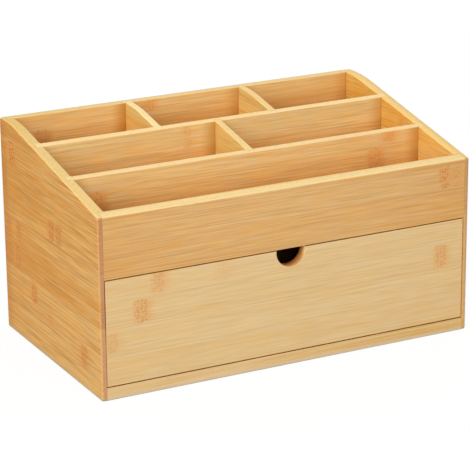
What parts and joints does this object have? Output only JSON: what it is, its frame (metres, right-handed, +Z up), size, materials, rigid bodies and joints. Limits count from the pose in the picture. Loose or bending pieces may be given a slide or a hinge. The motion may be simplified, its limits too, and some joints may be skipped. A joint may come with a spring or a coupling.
{
  "type": "desk organizer",
  "caption": "Bamboo desk organizer with a sloping rim, open divided compartments above and a slide-out drawer with a finger notch below.",
  "frame": {"origin": "middle of the base, on the surface that the organizer stands on", "axes": "+X to the right along the width, +Y to the rear so that the drawer faces -Y, +Z up"},
  "size_m": [0.32, 0.186, 0.1755],
  "materials": {
    "bamboo_side": "satin lacquered bamboo board, strips along the depth, warm orange yellow",
    "bamboo_panel": "satin lacquered bamboo board, strips along the width, golden yellow",
    "bamboo_drawer_front": "satin lacquered bamboo board, strips along the width, paler beige yellow",
    "bamboo_divider": "thin satin lacquered bamboo board with pale upper edges",
    "bamboo_inner": "thin bamboo board, satin, inside the case and the drawer box",
    "steel_brad": "bright drawn steel wire brad"
  },
  "bodies": {
    "case": {"left_side_panel": "bamboo_side", "right_side_panel": "bamboo_side", "front_panel": "bamboo_panel", "back_panel": "bamboo_panel", "base_board": "bamboo_panel", "tray_floor": "bamboo_inner", "front_long_divider": "bamboo_divider", "rear_long_divider": "bamboo_divider", "middle_short_divider": "bamboo_divider", "rear_left_short_divider": "bamboo_divider", "rear_right_short_divider": "bamboo_divider", "base_board_brads": "steel_brad", "back_panel_brads": "steel_brad"},
    "drawer": {"drawer_front": "bamboo_drawer_front", "drawer_left_side": "bamboo_inner", "drawer_right_side": "bamboo_inner", "drawer_back": "bamboo_inner", "drawer_bottom": "bamboo_inner", "drawer_brads": "steel_brad"}
  },
  "joints": [
    {"name": "drawer_slide", "type": "slide", "parent": "case", "child": "drawer", "axis": [0, -1, 0], "range_m": [0, 0.135]}
  ]
}
